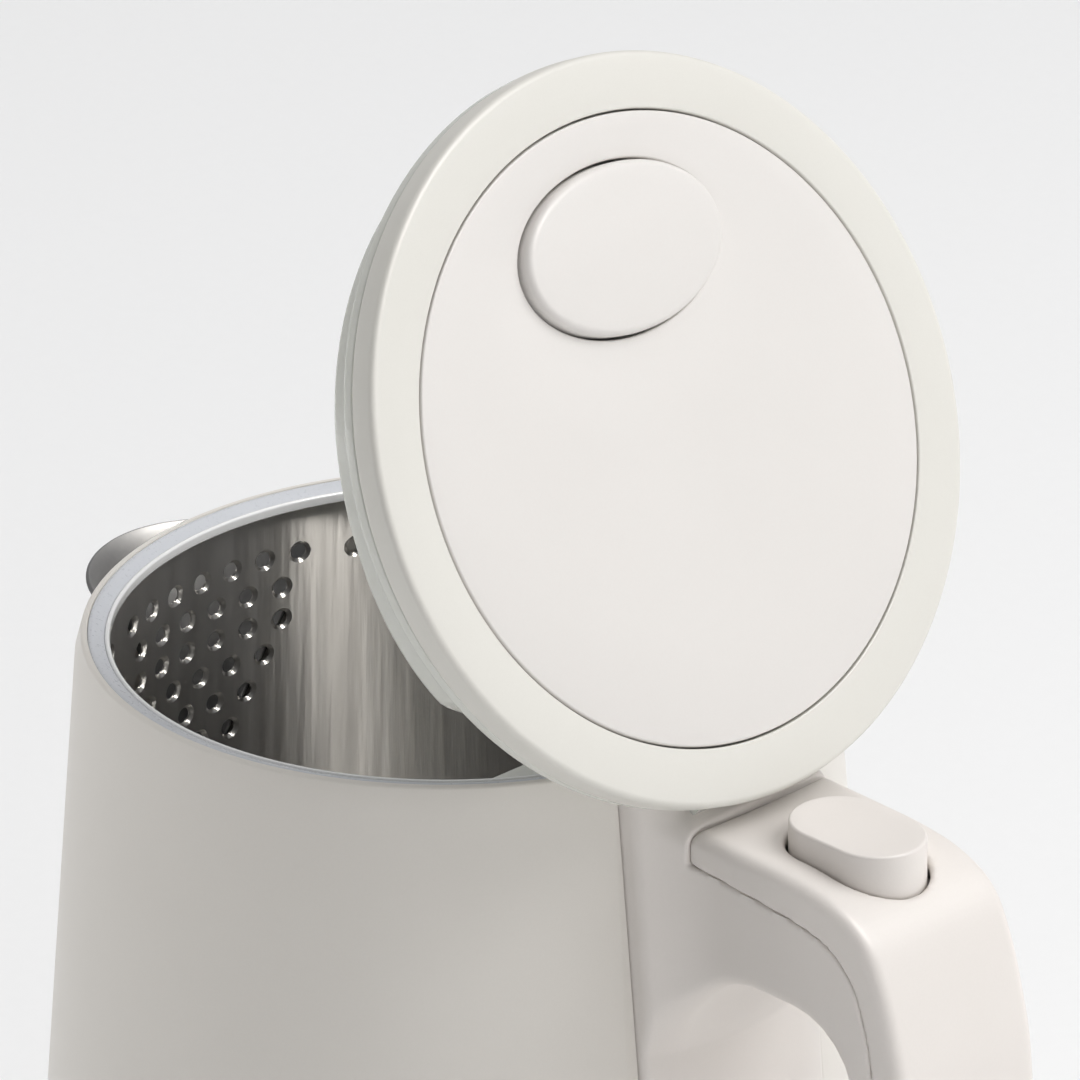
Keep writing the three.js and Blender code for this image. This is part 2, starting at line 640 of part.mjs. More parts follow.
const switchFloor = -27.6;
const steamSwitch = cut(
  box(79, 99, -9, 9, switchFloor, -22),
  box(81, 97, -7, 7, -24.5, -20),
);
const switchPost = rod([PILL.x + 1, 0, switchFloor + 1], [PILL.x + 1, 0, -18.8], 1.4, 10);
body.add(part("handle_frame", handleFrame(), "body"));
body.add(part("handle_cover", handleCover(), "body"));
body.add(part("power_button", powerButton(), "body"));
body.add(part("steam_switch", join(steamSwitch, switchPost), "nylon"));
const buttonSpring = spring(2.8, 0.4, -24, -18.8, 4).translate([PILL.x + 1, 0, 0]);
body.add(part("power_button_spring", buttonSpring, "steel"));
const bimetal = rod([75.8, 0, -22.5], [76.6, 0, -22.5], 5, 20);
body.add(part("steam_bimetal_disc", bimetal, "brass"));
const steamTube = cut(rod([56.5, 0, -24], [73.8, 0, -24], 3, 14), rod([50, 0, -24], [80, 0, -24], 2.1, 14));
body.add(part("steam_tube", steamTube, "silicone"));
[-6, 6].forEach((y, i) => {
  const head = rod([104, y, -148.6], [104, y, -147.2], 2.3);
  const screw = join(head, rod([104, y, -148], [104, y, -136], 1.2));
  body.add(part(`handle_screw_${i + 1}`, screw, "steel"));
});

// ---- lid ----------------------------------------------------------------------------------
const RING_BOTTOM = 3.9;
const FLANGE_BOTTOM = 1.2;

function lidRing() {
  const fillet = [0, 30, 60, 90].map((a) => {
    const turn = THREE.MathUtils.degToRad(a);
    return [LID_R - 2.2 + 2.2 * Math.cos(turn), LID_TOP - 2.2 + 2.2 * Math.sin(turn)];
  });
  return turned([
    [46, RING_BOTTOM], [LID_R - 0.5, RING_BOTTOM], [LID_R, RING_BOTTOM + 0.5], ...fillet,
    [PANEL_R + GAP, LID_TOP], [PANEL_R + GAP, LID_TOP - 2.6], [46, LID_TOP - 2.6],
  ]);
}

function lidPanel() {
  const hole = raised(ellipse(OVAL.x, 0, OVAL.radial + 0.4, OVAL.across + 0.4), -20, 20, 16);
  return cut(disc(PANEL_R, LID_TOP - 2.3, LID_TOP), hole);
}

function lidButton() {
  const wall = raised(ellipse(OVAL.x, 0, OVAL.radial, OVAL.across), 3.2, LID_TOP + 1.5, 16);
  const crown = raised(ellipse(OVAL.x, 0, OVAL.radial - 0.9, OVAL.across - 0.9), 5, LID_TOP + 2.4, 16);
  const flange = raised(ellipse(OVAL.x, 0, OVAL.radial + 1.8, OVAL.across + 1.8), 3.2, 4.6, 16);
  const hollow = raised(ellipse(OVAL.x, 0, OVAL.radial - 2, OVAL.across - 2), 0, 7, 16);
  const wedge = sideways(outline([[-40, 8], [-40, 0.6], [-35.9, 0.6], [-28.5, 8]]), 3);
  return join(cut(join(wall, crown, flange), hollow), wedge);
}

const BOLT = { low: -4.6, high: -2.4, half: 4.5, tip: -55.9 };

// The outline of the plug: round, with the side at the hinge cut off straight.
function keep(chord) {
  const corner = chord - 19.5;
  return raised(outline([
    [-80, 80], [-80, -80], [corner, -80], [corner, -60],
    [chord, -29], [chord, 29], [corner, 60], [corner, 80],
  ]), -30, 30);
}

function lidBase() {
  const below = sideways(outline([
    [-80, -30], [80, -30], [80, -PLUG_DEEP], [PLUG_CHORD_X, -PLUG_DEEP],
    [0, -PLUG_DEPTH], [-80, -PLUG_DEPTH],
  ]), 80);
  const plug = cut(disc(PLUG_R, -PLUG_DEEP, 3).intersect(keep(PLUG_CHORD_X)), below);
  const flange = disc(LID_R - 0.4, FLANGE_BOTTOM, RING_BOTTOM - GAP);
  const roomShape = disc(PLUG_R - 2.4, -PLUG_DEEP, 10).intersect(keep(PLUG_CHORD_X - 2.4));
  const room = cut(roomShape, below.translate([0, 0, 1.8]));
  const grooveCore = disc(PLUG_R - 1.2, -2, 2).intersect(keep(PLUG_CHORD_X - 1.2));
  const sealGroove = cut(disc(PLUG_R + 5, -0.9, 0.9), grooveCore);
  const boltSlot = box(-60, -50, -BOLT.half - 0.4, BOLT.half + 0.4, BOLT.low - 0.4, BOLT.high + 0.4);
  const vents = [-2, -1, 0, 1, 2].map((i) => box(14, 30, 7 * i - 1.2, 7 * i + 1.2, -20, 0));
  const armShape = outline([
    [HINGE_X - 3, -HINGE_DROP - 2.6, 2.4], [HINGE_X + 3, -HINGE_DROP - 2.6, 2.4],
    [HINGE_X + 3, -HINGE_DROP + 2],
    [58.6, FLANGE_BOTTOM + 1], [50, FLANGE_BOTTOM + 1], [55, -6],
  ]);
  const arms = cut(sideways(armShape, ARM.outer), box(30, 80, -ARM.inner, ARM.inner, -30, FLANGE_BOTTOM));
  const bore = rod([HINGE_X, -30, -HINGE_DROP], [HINGE_X, 30, -HINGE_DROP], PIN_R + 0.09, 16);
  const screwHoles = [90, 180, 270].map((a) => rod(onWall(44, a, -20), onWall(44, a, 0), 1.5));
  const rib = box(-27, -26, -4, 4, -PLUG_DEPTH + 1, -1);
  const cup = join(cut(join(plug, flange), room, sealGroove, boltSlot, ...vents, ...screwHoles), rib);
  return join(cup, cut(arms, bore));
}

function lidSeal() {
  const outside = disc(PLUG_R + 0.6, -0.6, 0.6).intersect(keep(PLUG_CHORD_X + 0.4));
  const inside = disc(PLUG_R - 0.9, -2, 2).intersect(keep(PLUG_CHORD_X - 0.9));
  return cut(outside, inside);
}

function latchBolt() {
  const bar = box(BOLT.tip, -32, -BOLT.half, BOLT.half, BOLT.low, BOLT.high);
  const ramp = sideways(outline([[-39, -3], [-34.5, 1.5], [-32, 1.5], [-32, -3]]), 3);
  return join(bar, ramp);
}

closedLid.add(part("lid_ring", lidRing(), "lid"));
closedLid.add(part("lid_panel", lidPanel(), "lid"));
closedLid.add(part("lid_button", lidButton(), "lid"));
closedLid.add(part("lid_base", lidBase(), "inner"));
closedLid.add(part("lid_seal", lidSeal(), "silicone"));
closedLid.add(part("latch_bolt", latchBolt(), "nylon"));
const lidButtonSpring = spring(2.8, 0.4, -5, 4.4, 5).translate([OVAL.x + 7.5, 0, 0]);
closedLid.add(part("lid_button_spring", lidButtonSpring, "steel"));
const latchSpring = spring(1.3, 0.3, 0, 2, 3).rotate([0, 90, 0]).translate([-29.5, 0, -3.4]);
closedLid.add(part("latch_spring", latchSpring, "steel"));
[90, 180, 270].forEach((angle, i) => {
  const [x, y] = onWall(44, angle, 0);
  const head = disc(2.4, -PLUG_DEPTH - 0.9, -PLUG_DEPTH - GAP, 10);
  const post = join(head, disc(1.2, -PLUG_DEPTH - 0.6, -PLUG_DEPTH + 1, 8));
  const mesh = part(`lid_screw_${i + 1}`, post, "steel");
  mesh.position.set(x, y, 0);
  closedLid.add(mesh);
});

export default kettle;
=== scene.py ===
import math

import bmesh
import bpy
import numpy as np
from mathutils import Matrix


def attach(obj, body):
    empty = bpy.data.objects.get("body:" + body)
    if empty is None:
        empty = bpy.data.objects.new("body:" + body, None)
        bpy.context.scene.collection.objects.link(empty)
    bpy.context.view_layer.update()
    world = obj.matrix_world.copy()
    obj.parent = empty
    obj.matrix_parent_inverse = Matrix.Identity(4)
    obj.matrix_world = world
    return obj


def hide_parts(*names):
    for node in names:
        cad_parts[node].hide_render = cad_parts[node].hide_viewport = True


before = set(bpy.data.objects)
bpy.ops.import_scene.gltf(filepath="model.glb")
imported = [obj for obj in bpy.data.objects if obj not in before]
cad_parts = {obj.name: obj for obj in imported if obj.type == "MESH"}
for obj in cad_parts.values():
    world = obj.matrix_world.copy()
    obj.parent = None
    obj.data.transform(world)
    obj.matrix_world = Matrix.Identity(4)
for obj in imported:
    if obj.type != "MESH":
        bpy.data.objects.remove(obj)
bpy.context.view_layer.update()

# Millimetres inside this script; heights are measured from the mouth's plane unless they say
# "table". +X handle, -X spout.
MM = 0.001
RIM = 205.0  # the mouth's plane above the table
LID_OPEN = math.radians(65.2)
HINGE = np.array([59.3, 0.0, -9.8])
LID_R = 60.0
LID_TOP = 9.2
PANEL_R = 50.35
PANEL_GROOVE = 0.36  # between the lid's rim and its face
OVAL_X, OVAL_RADIAL, OVAL_ACROSS = -29.5, 13.35, 20.65  # the lid's button
OVAL_GROOVE = 0.45
PLUG_R, PLUG_CHORD = 55.2, 40.5  # the plug is cut straight at the chord, beside the hinge
PLUG_DEPTH = 7.3
PILL_X, PILL_LONG, PILL_HALF = 92.35, 12.1, 8.0  # the handle's button
PILL_TOP, PILL_STEM = -3.5, -14.2
HANDLE_HALF, HANDLE_EDGE = 15.4, 2.4
PLATE_HALF = 19.7  # the root of the handle, which lies in the shell's slot
ROOM_HALF = 12.7  # half the width of the hollow inside the handle
PARTING_GAP, PARTING_EDGE = 0.12, 0.3  # on each side of the line between cover and frame
SHELL_R, SLOPE = 61.75, 0.0876  # outside radius in the mouth's plane, and the taper
SHELL_TOP, SHELL_FOOT = 0.9, 23.0 - RIM
VESSEL_R, VESSEL_SLOPE = 58.0, 0.06  # inside radius 2 mm below the mouth, and the taper
VESSEL_TOP, VESSEL_BEND, VESSEL_FLOOR = -1.9, -144.0, -153.0
VESSEL_SKIN = 0.8
NOTCH_HALF, NOTCH_FLOOR, NOTCH_BACK = 17.1, -17.3, 61.9  # the room for the hinge's block
SCREW_BORE = 1.9
BASE_SCREWS = (math.pi / 3, math.pi, 5 * math.pi / 3)
BODY_SCREWS = (0, 2 * math.pi / 3, 4 * math.pi / 3)
LID_SCREWS = (math.pi / 2, math.pi, 1.5 * math.pi)
CORD_Z = 8.6  # the middle of the cord's gland, above the table


def shell_radius(z):
    return SHELL_R - SLOPE * z


def vessel_radius(z):
    return VESSEL_R - VESSEL_SLOPE * (z + 2.0)


# ---- mesh helpers ---------------------------------------------------------------------------
def opened(points):
    """Points of the closed lid, turned to where the open lid stands."""
    c, s = math.cos(LID_OPEN), math.sin(LID_OPEN)
    p = np.asarray(points, float) - HINGE
    turned = np.stack([p[:, 0] * c + p[:, 2] * s, p[:, 1], -p[:, 0] * s + p[:, 2] * c], 1)
    return turned + HINGE


def solid(name, points, faces, lid=False, table=False):
    """A mesh object from points in millimetres, with its faces pointing out."""
    p = np.asarray(points, float)
    if lid:
        p = opened(p)
    if not table:
        p = p + (0, 0, RIM)
    mesh = bpy.data.meshes.new(name)
    mesh.from_pydata((p * MM).tolist(), [], [tuple(int(i) for i in f) for f in faces])
    work = bmesh.new()
    work.from_mesh(mesh)
    bmesh.ops.remove_doubles(work, verts=work.verts, dist=1e-7)
    bmesh.ops.dissolve_degenerate(work, dist=1e-8, edges=work.edges)
    bmesh.ops.recalc_face_normals(work, faces=work.faces)
    work.to_mesh(mesh)
    work.free()
    obj = bpy.data.objects.new(name, mesh)
    bpy.context.scene.collection.objects.link(obj)
    return obj


def shade(obj, angle=32.0):
    obj.data.shade_smooth()
    obj.data.set_sharp_from_angle(angle=math.radians(angle))


def settle(obj):
    """Applies the object's modifiers."""
    graph = bpy.context.evaluated_depsgraph_get()
    graph.update()
    mesh = bpy.data.meshes.new_from_object(obj.evaluated_get(graph))
    obj.modifiers.clear()
    obj.data = mesh


def carve(obj, *cutters, operation="DIFFERENCE"):
    """Cuts the cutters away, or joins them on, and removes them."""
    for cutter in cutters:
        step = obj.modifiers.new("cut", "BOOLEAN")
        step.operation = operation
        step.solver = "EXACT"
        step.object = cutter
        settle(obj)
        bpy.data.objects.remove(cutter)


def soften(obj, width, segments=2, angle=35.0):
    """Rounds the sharp edges over."""
    edge = obj.modifiers.new("edge", "BEVEL")
    edge.width = width * MM
    edge.segments = segments
    edge.limit_method = "ANGLE"
    edge.angle_limit = math.radians(angle)
    edge.use_clamp_overlap = True
    settle(obj)


def rounded(corners, steps=6):
    """A closed outline; a corner with a third number is rounded to that radius."""
    out = []
    count = len(corners)
    for i, corner in enumerate(corners):
        here = np.array(corner[:2], float)
        radius = corner[2] if len(corner) > 2 else 0.0
        if radius <= 0:
            out.append(here)
            continue
        before = np.array(corners[i - 1][:2], float) - here
        after = np.array(corners[(i + 1) % count][:2], float) - here
        before_length, after_length = np.linalg.norm(before), np.linalg.norm(after)
        before, after = before / before_length, after / after_length
        half = math.acos(max(-1.0, min(1.0, float(before @ after)))) / 2
        back = min(radius / math.tan(half), 0.49 * before_length, 0.49 * after_length)
        radius = back * math.tan(half)
        middle = (before + after) / np.linalg.norm(before + after)
        centre = here + middle * radius / math.sin(half)
        start, end = here + before * back - centre, here + after * back - centre
        a0, a1 = math.atan2(start[1], start[0]), math.atan2(end[1], end[0])
        sweep = (a1 - a0 + math.pi) % (2 * math.pi) - math.pi
        for k in range(steps + 1):
            a = a0 + sweep * k / steps
            out.append(centre + radius * np.array([math.cos(a), math.sin(a)]))
    return np.array(out)


def loft(rings, wrap=False):
    """Quads between rings of equal count. Open ends are closed with one face."""
    count = len(rings[0])
    points = np.concatenate([np.asarray(r, float) for r in rings])
    rows = len(rings)
    faces = []
    for k in range(rows if wrap else rows - 1):
        a, b = k * count, ((k + 1) % rows) * count
        for i in range(count):
            j = (i + 1) % count
            faces.append((a + i, a + j, b + j, b + i))
    if not wrap:
        faces.append(tuple(range(count)))
        faces.append(tuple((rows - 1) * count + i for i in range(count)))
    return points, faces


def turns(count):
    """Angles at even steps round a full turn."""
    return np.arange(count) * 2 * math.pi / count


def lathe(profile, segments=192):
    """A closed [radius, height] profile turned about Z. One that starts on the axis ends there."""
    profile = np.asarray(profile, float)
    angles = turns(segments)
    ring = np.stack([np.cos(angles), np.sin(angles)], 1)
    rings = [np.column_stack([ring * r, np.full(segments, z)]) for r, z in profile]
    on_axis = profile[0][0] < 1e-6
    if on_axis:
        points, faces = loft(rings)
        return points, faces[:-2]
    return loft(rings, wrap=True)


def circle(radius, count, z, centre=(0, 0)):
    a = turns(count)
    x, y = centre
    return np.column_stack([x + radius * np.cos(a), y + radius * np.sin(a), np.full(count, z)])


def flat_ring(flat, z):
    """[x, y] points at one height."""
    return np.column_stack([flat, np.full(len(flat), z)])


def around_x(radius, count, x):
    """A circle about the cord's line, which runs along X."""
    a = turns(count)
    return np.column_stack([np.full(count, x), radius * np.cos(a), CORD_Z + radius * np.sin(a)])


def screw_bores(angles, spread, radius, low, high, count):
    """Upright cylinders at these angles, all at the distance spread from the axis."""
    return [
        loft([
            circle(radius, count, z) + (spread * math.cos(a), spread * math.sin(a), 0)
            for z in (low, high)
        ])
        for a in angles
    ]


def slab(x0, x1, y0, y1, z0, z1):
    points = [(x, y, z) for x in (x0, x1) for y in (y0, y1) for z in (z0, z1)]
    faces = [(0, 1, 3, 2), (4, 6, 7, 5), (0, 4, 5, 1), (2, 3, 7, 6), (0, 2, 6, 4), (1, 5, 7, 3)]
    return points, faces


def merged(parts):
    points, faces, offset = [], [], 0
    for p, f in parts:
        points.append(np.asarray(p, float))
        faces.extend(tuple(i + offset for i in face) for face in f)
        offset += len(p)
    return np.concatenate(points), faces


# ---- shapes given as distance functions -----------------------------------------------------
def soft_min(a, b, k):
    h = np.maximum(k - np.abs(a - b), 0.0) / k
    return np.minimum(a, b) - h * h * k / 4


def soft_max(a, b, k):
    return -soft_min(-a, -b, k)


def flat_shape(outline):
    """Signed distance to an outline in a plane, negative inside."""
    a = np.asarray(outline, float)
    b = np.roll(a, -1, axis=0)

    def distance(x, z):
        x, z = np.broadcast_arrays(x, z)
        best = np.full(x.shape, 1e18)
        inside = np.zeros(x.shape, bool)
        for (ax, az), (bx, bz) in zip(a, b):
            ex, ez = bx - ax, bz - az
            t = np.clip(((x - ax) * ex + (z - az) * ez) / (ex * ex + ez * ez), 0, 1)
            best = np.minimum(best, (x - ax - t * ex) ** 2 + (z - az - t * ez) ** 2)
            if az != bz:
                crosses = ((az > z) != (bz > z)) & (x < ex * (z - az) / ez + ax)
                inside ^= crosses
        return np.where(inside, -1, 1) * np.sqrt(best)

    return distance


def thick(flat, y, half, radius):
    """A flat shape as wide as 2 * half, its edges rounded to radius."""
    u = flat + radius
    v = np.abs(y) - half + radius
    outside = np.sqrt(np.maximum(u, 0) ** 2 + np.maximum(v, 0) ** 2)
    return outside + np.minimum(np.maximum(u, v), 0) - radius


def surface_of(field, low, high, step):
    """Surface nets: quads over the zero surface of a distance function."""
    axes = [np.arange(a, b + step, step) for a, b in zip(low, high)]
    x, y, z = np.meshgrid(*axes, indexing="ij", sparse=True)
    value = np.broadcast_to(field(x, y, z), [len(a) for a in axes])
    inside = value < 0
    cells = tuple(n - 1 for n in value.shape)
    total = np.zeros(cells + (3,))
    hits = np.zeros(cells)
    corner = [(i, j, k) for i in (0, 1) for j in (0, 1) for k in (0, 1)]

    def part(array, c):
        return array[tuple(slice(o, o + n) for o, n in zip(c, cells))]

    # each cell's point is the middle of the places where its edges cross the surface
    for a in corner:
        for axis in range(3):
            if a[axis]:
                continue
            b = tuple(o + (i == axis) for i, o in enumerate(a))
            va, vb = part(value, a), part(value, b)
            cross = part(inside, a) != part(inside, b)
            t = np.where(cross, va / np.where(va == vb, 1, va - vb), 0)
            for i in range(3):
                total[..., i] += np.where(cross, a[i] + (t if i == axis else 0), 0)
            hits += cross
    active = hits > 0
    where = np.argwhere(active)
    index = np.full(cells, -1)
    index[active] = np.arange(len(where))
    origin = np.array([a[0] for a in axes])
    points = origin + (where + total[active] / hits[active][:, None]) * step

    # each crossed grid edge gets a quad between the four cells round it
    faces = []
    for axis in range(3):
        u, v = (axis + 1) % 3, (axis + 2) % 3
        first = [slice(1, -1)] * 3
        second = [slice(1, -1)] * 3
        first[axis] = slice(0, -1)
        second[axis] = slice(1, None)
        change = inside[tuple(first)] != inside[tuple(second)]
        flip = inside[tuple(first)][change]
        spot = np.argwhere(change)
        spot[:, u] += 1
        spot[:, v] += 1
        quad = []
        for du, dv in ((1, 1), (0, 1), (0, 0), (1, 0)):
            near = spot.copy()
            near[:, u] -= du
            near[:, v] -= dv
            quad.append(index[tuple(near.T)])
        quad = np.stack(quad, 1)
        quad[~flip] = quad[~flip][:, ::-1]
        faces.append(quad)
    faces = np.concatenate(faces)

    # the points are drawn onto the surface
    rounds, reach, least_slope = 3, 0.02, 0.2
    for _ in range(rounds):
        slope = np.stack([
            (field(*(points + e).T) - field(*(points - e).T)) / (2 * reach)
            for e in np.eye(3) * reach
        ], 1)
        size = np.maximum((slope ** 2).sum(1), least_slope)
        move = -(field(*points.T) / size)[:, None] * slope
        points = points + np.clip(move, -0.5 * step, 0.5 * step)
    return points, faces


# ---- materials ------------------------------------------------------------------------------
MOULDED_RELIEF, BRUSHED_RELIEF = 0.00002, 0.00014  # metres
GRAIN_SHARE = 0.35  # of the colour's change; the slower mottling makes the rest


def finish(name, low, high, rough, bump, grain, metal=0.0, stretch=(1, 1, 1), mottle=25.0,
           coat=0.0, through=0.0, brushed=0.0):
    """A moulded or metal surface: colour drifts between low and high, grain is its texture's
    scale. A brushed one was polished round the Z axis, so its highlights run up and down."""
    m = bpy.data.materials.new(name)
    m.use_nodes = True
    nodes, links = m.node_tree.nodes, m.node_tree.links
    shader = nodes["Principled BSDF"]
    coordinates = nodes.new("ShaderNodeTexCoord")
    scale = nodes.new("ShaderNodeMapping")
    scale.inputs["Scale"].default_value = stretch
    links.new(coordinates.outputs["Object"], scale.inputs["Vector"])
    drift = nodes.new("ShaderNodeTexNoise")
    drift.inputs["Scale"].default_value = mottle
    drift.inputs["Detail"].default_value = 3
    links.new(coordinates.outputs["Object"], drift.inputs["Vector"])
    fine = nodes.new("ShaderNodeTexNoise")
    fine.inputs["Scale"].default_value = grain
    fine.inputs["Detail"].default_value = 4
    links.new(scale.outputs["Vector"], fine.inputs["Vector"])
    tint = nodes.new("ShaderNodeValToRGB")
    tint.color_ramp.elements[0].position = 0.3
    tint.color_ramp.elements[1].position = 0.7
    tint.color_ramp.elements[0].color = (*low, 1)
    tint.color_ramp.elements[1].color = (*high, 1)
    both = nodes.new("ShaderNodeMath")
    both.operation = "MULTIPLY_ADD"
    both.inputs[1].default_value = GRAIN_SHARE
    links.new(fine.outputs["Fac"], both.inputs[0])
    share = nodes.new("ShaderNodeMath")
    share.operation = "MULTIPLY"
    share.inputs[1].default_value = 1 - GRAIN_SHARE
    links.new(drift.outputs["Fac"], share.inputs[0])
    links.new(share.outputs["Value"], both.inputs[2])
    links.new(both.outputs["Value"], tint.inputs["Fac"])
    links.new(tint.outputs["Color"], shader.inputs["Base Color"])
    spread = nodes.new("ShaderNodeMapRange")
    spread.inputs["From Min"].default_value = 0.3
    spread.inputs["From Max"].default_value = 0.7
    spread.inputs["To Min"].default_value = rough - 0.04
    spread.inputs["To Max"].default_value = rough + 0.04
    links.new(fine.outputs["Fac"], spread.inputs["Value"])
    links.new(spread.outputs["Result"], shader.inputs["Roughness"])
    if bump:
        relief = nodes.new("ShaderNodeBump")
        relief.inputs["Strength"].default_value = bump
        relief.inputs["Distance"].default_value = BRUSHED_RELIEF if brushed else MOULDED_RELIEF
        links.new(fine.outputs["Fac"], relief.inputs["Height"])
        links.new(relief.outputs["Normal"], shader.inputs["Normal"])
    shader.inputs["Metallic"].default_value = metal
    shader.inputs["Coat Weight"].default_value = coat
    shader.inputs["Coat Roughness"].default_value = 0.2
    if brushed:
        shader.inputs["Anisotropic"].default_value = brushed
        shader.inputs["Anisotropic Rotation"].default_value = 0.25
        around = nodes.new("ShaderNodeTangent")
        around.direction_type = "RADIAL"
        around.axis = "Z"
        links.new(around.outputs["Tangent"], shader.inputs["Tangent"])
    if through:
        shader.inputs["Subsurface Weight"].default_value = through
        shader.inputs["Subsurface Radius"].default_value = (0.003, 0.003, 0.0025)
        shader.inputs["Subsurface Scale"].default_value = 1.0
    return m


SHELL = finish("shell_plastic", (0.69, 0.66, 0.615), (0.72, 0.69, 0.645), 0.42, 0.25, 2600,
               mottle=18)
GRIP = finish("handle_plastic", (0.70, 0.66, 0.625), (0.73, 0.69, 0.655), 0.45, 0.3, 2600,
              mottle=30)
LID = finish("lid_plastic", (0.65, 0.635, 0.59), (0.675, 0.66, 0.615), 0.46, 0.3, 2600,
             mottle=22)
LID_FACE = finish("lid_panel_plastic", (0.66, 0.635, 0.61), (0.685, 0.66, 0.635), 0.48, 0.3, 2600,
                  mottle=20)
INNER = finish("inner_plastic", (0.61, 0.615, 0.575), (0.65, 0.655, 0.61), 0.16, 0.05, 1200,
               coat=0.3, through=0.2)
RING = finish("mouth_ring_plastic", (0.58, 0.595, 0.63), (0.61, 0.625, 0.66), 0.3, 0.03, 1600,
              coat=0.3)
# near-white copy of the ring's plastic: a painted highlight for the bright reflection along the
# ring's inner edge
LIP_PAINTED_HIGHLIGHT = finish("mouth_lip_painted_highlight", (0.86, 0.86, 0.855), (0.90, 0.90, 0.895), 0.2, 0.02, 1600,
             coat=0.6)
STEEL = finish("drawn_steel", (0.60, 0.585, 0.565), (0.68, 0.665, 0.645), 0.36, 0.9, 420,
               metal=1.0, stretch=(1, 1, 0.02), mottle=40, brushed=1.0)
# the spout's steel is a darker copy of the vessel's steel: its dark colour is painted shade
SHADED_SPOUT_STEEL = finish("spout_steel_painted_shade", (0.28, 0.28, 0.285), (0.37, 0.37, 0.37), 0.55, 0.03, 1100,
                     metal=1.0, mottle=60)
SMALL_STEEL = finish("plated_steel", (0.50, 0.50, 0.50), (0.58, 0.58, 0.58), 0.28, 0.2, 2500,
                     metal=1.0)
BRASS = finish("contact_brass", (0.62, 0.46, 0.22), (0.72, 0.55, 0.28), 0.3, 0.2, 2000, metal=1.0)
CAST = finish("cast_aluminium", (0.42, 0.42, 0.43), (0.52, 0.52, 0.53), 0.5, 0.6, 1500, metal=1.0)
CLEAR_RUBBER = finish("seal_silicone", (0.62, 0.63, 0.61), (0.68, 0.69, 0.67), 0.35, 0.1, 1500,
                      through=0.3)
RUBBER = finish("foot_rubber", (0.035, 0.035, 0.037), (0.05, 0.05, 0.052), 0.75, 0.5, 2200)
NYLON = finish("control_nylon", (0.42, 0.40, 0.37), (0.48, 0.46, 0.43), 0.55, 0.4, 1800)
DARK = finish("connector_nylon", (0.05, 0.05, 0.053), (0.07, 0.07, 0.073), 0.5, 0.3, 1800)


def place(obj, material, body, nodes=(), smooth=32.0):
    """Gives a piece its finish and its body, and hides the CAD nodes that it stands for."""
    obj.data.materials.clear()
    obj.data.materials.append(material)
    shade(obj, smooth)
    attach(obj, body)
    if nodes:
        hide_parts(*nodes)
    return obj


# ---- the body's shell, mouth ring and vessel ------------------------------------------------
def make_shell():
    foot = shell_radius(SHELL_FOOT)
    section = rounded([
        (foot - 2, SHELL_FOOT + 0.4), (foot, SHELL_FOOT, 1.2),
        (shell_radius(-3.2), -3.2), (60.9, SHELL_TOP, 2.6), (59.9, SHELL_TOP),
        (59.9, -3), (shell_radius(-60) - 2, -60),
    ], 7)
    shell = solid("outer_shell_skin", *lathe(section, 224))
    slot = solid("slot", *slab(40, 95, -PLATE_HALF - 0.25, PLATE_HALF + 0.25, -152.3, 12))
    # the window behind the spout, as a wedge that narrows downwards
    half, top, low = 23.3, -9.1, -44.6
    window = loft([
        np.array([(x, -half, top), (x, -3, low), (x, 3, low), (x, half, top)]) for x in (-95, -30)
    ])
    carve(shell, slot, solid("window", *window))
    soften(shell, 0.35, 2, 40)
    return shell


place(make_shell(), SHELL, "kettle_body", ["outer_shell"])


def hinge_notch(low):
    return solid("notch", *slab(40, 95, -NOTCH_HALF, NOTCH_HALF, low, 10))


def make_ring():
    section = rounded([
        (57.05, -1.6), (59.85, -1.6), (59.85, 0.75, 0.3), (59.2, 0.85, 0.6), (58.2, 0.35, 1.5),
        (57.05, -0.15, 0.3),
    ], 5)
    ring = solid("mouth_ring", *lathe(section, 224))
    carve(ring, hinge_notch(-10))
    return ring


def make_mouth_lip():
    """The inner edge of the ring, over the vessel's rim. Its near-white colour is a painted
    highlight.
    """
    section = rounded([
        (56.2, -1.6, 0.2), (57.04, -1.6), (57.04, 0.1, 0.35), (56.2, 0.1, 0.4),
    ], 6)
    lip = solid("mouth_ring_lip", *lathe(section, 224))
    carve(lip, hinge_notch(-10))
    return lip


place(make_ring(), RING, "kettle_body", ["rim_ring"], 50)
place(make_mouth_lip(), LIP_PAINTED_HIGHLIGHT, "kettle_body", (), 50)


# Rows of height, first hole and last hole, the holes counted in half pitches from the middle.
HOLE_ROWS = [
    (-10.6, -6, 6), (-16.6, -5, 5), (-22.6, -5, 5), (-28.6, -4, 4), (-34.6, -3, 3), (-40.6, -2, 2),
    (-11.4, -9, -9), (-11.4, 9, 9),
]
HOLE_FIELD = 183.3  # degrees, middle of the field
HOLE_PITCH = 6.6  # degrees


def strainer():
    """Azimuth in degrees and height of every hole."""
    return [
        (HOLE_FIELD + step * HOLE_PITCH / 2, z)
        for z, first, last in HOLE_ROWS for step in range(first, last + 1, 2)
    ]


def strainer_drill(azimuth, z):
    """The tool for one hole, which is countersunk on the vessel's inside."""
    a = math.radians(azimuth)
    out = np.array([math.cos(a), math.sin(a), 0])
    side = np.array([-math.sin(a), math.cos(a), 0])
    angles = turns(24)
    ring = np.outer(np.cos(angles), side) + np.outer(np.sin(angles), (0, 0, 1))
    face = vessel_radius(z)
    steps = (
        (50, 2.2), (face - 0.25, 2.2), (face + 0.08, 1.95), (face + 0.3, 1.62),
        (face + 0.5, 1.42), (66, 1.42),
    )
    return loft([ring * radius + out * r + (0, 0, z) for r, radius in steps])


def vessel_corner(skin, floor, radius):
    """The wall's bend into the floor, from the axis outwards."""
    corner = rounded([
        (0, floor), (vessel_radius(VESSEL_FLOOR) + skin, floor, radius),
        (vessel_radius(VESSEL_BEND) + skin, VESSEL_BEND),
    ], 8)
    return [tuple(p) for p in corner]


